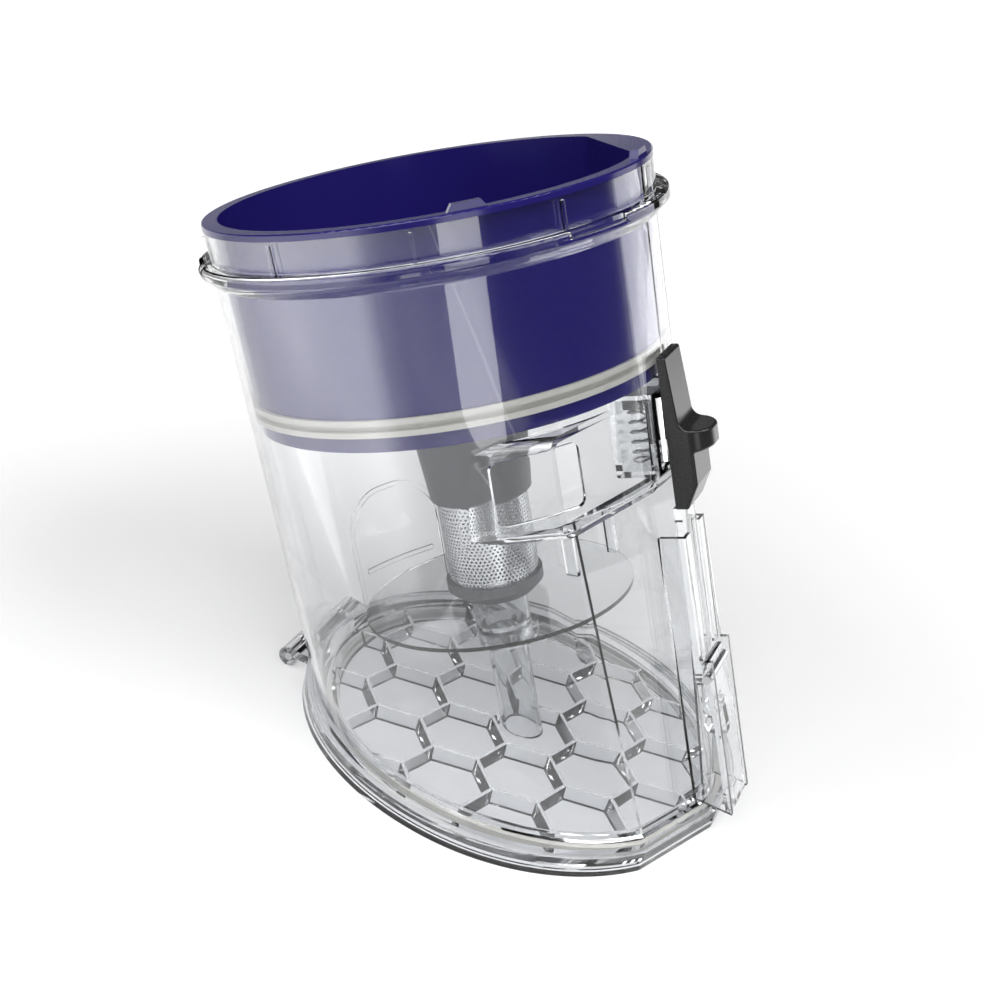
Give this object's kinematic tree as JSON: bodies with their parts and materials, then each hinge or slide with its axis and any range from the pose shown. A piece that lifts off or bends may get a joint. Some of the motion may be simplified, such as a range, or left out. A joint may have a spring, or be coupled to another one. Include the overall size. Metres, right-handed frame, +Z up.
{
  "type": "cyclone dust bin",
  "caption": "Clear leaning dust canister of an upright vacuum with a lift-out filter bowl, mesh-screened cyclone core, side inlet, and a ribbed drop-down door worked by a sprung thumb slider.",
  "frame": {"origin": "where the bin's leaning axis meets the floor, on the flat underside of the door", "axes": "+Z up from the floor the bin stands on, +X towards the release slider and catch, the hinge at -X; the canister's axis leans back towards -X"},
  "size_m": [0.2578, 0.1736, 0.2418],
  "materials": {
    "clear_plastic": "clear, polished",
    "indigo_plastic": "glossy deep indigo",
    "grey_rubber": "matt light grey",
    "grey_plastic": "satin mid grey",
    "screen_steel": "bright perforated sheet",
    "pin_steel": "drawn wire",
    "black_plastic": "satin black"
  },
  "bodies": {
    "bin": {"bin_body": "clear_plastic", "filter_bowl": "indigo_plastic", "bowl_gasket": "grey_rubber", "cyclone_cone": "grey_plastic", "mesh_screen": "screen_steel", "screen_end_ring": "grey_plastic", "dust_shield": "clear_plastic", "centre_tube": "clear_plastic", "hinge_pin": "pin_steel", "catch_pin": "pin_steel", "return_spring": "pin_steel"},
    "door": {"bottom_door": "clear_plastic", "door_gasket": "grey_rubber"},
    "release": {"release_slider": "black_plastic", "push_rod": "clear_plastic"},
    "catch": {"door_catch": "clear_plastic"}
  },
  "joints": [
    {"name": "door_hinge", "type": "hinge", "parent": "bin", "child": "door", "pos_m": [-0.09733, 0, 0.0046], "axis": [0, 1, 0], "range_deg": [0, 95]},
    {"name": "release_slide", "type": "slide", "parent": "bin", "child": "release", "axis": [0.4067, 0, -0.9135], "range_m": [0, 0.008], "stiffness_N_per_m": 600, "springref_m": -0.005, "deforming": ["return_spring"]},
    {"name": "catch_turn", "type": "hinge", "parent": "bin", "child": "catch", "pos_m": [0.0646, 0, 0.06489], "axis": [0, -1, 0], "range_deg": [0, 5]}
  ],
  "couplings": [
    {"joint": "catch_turn", "follows": "release_slide", "rad_per_m": 9.8175}
  ]
}
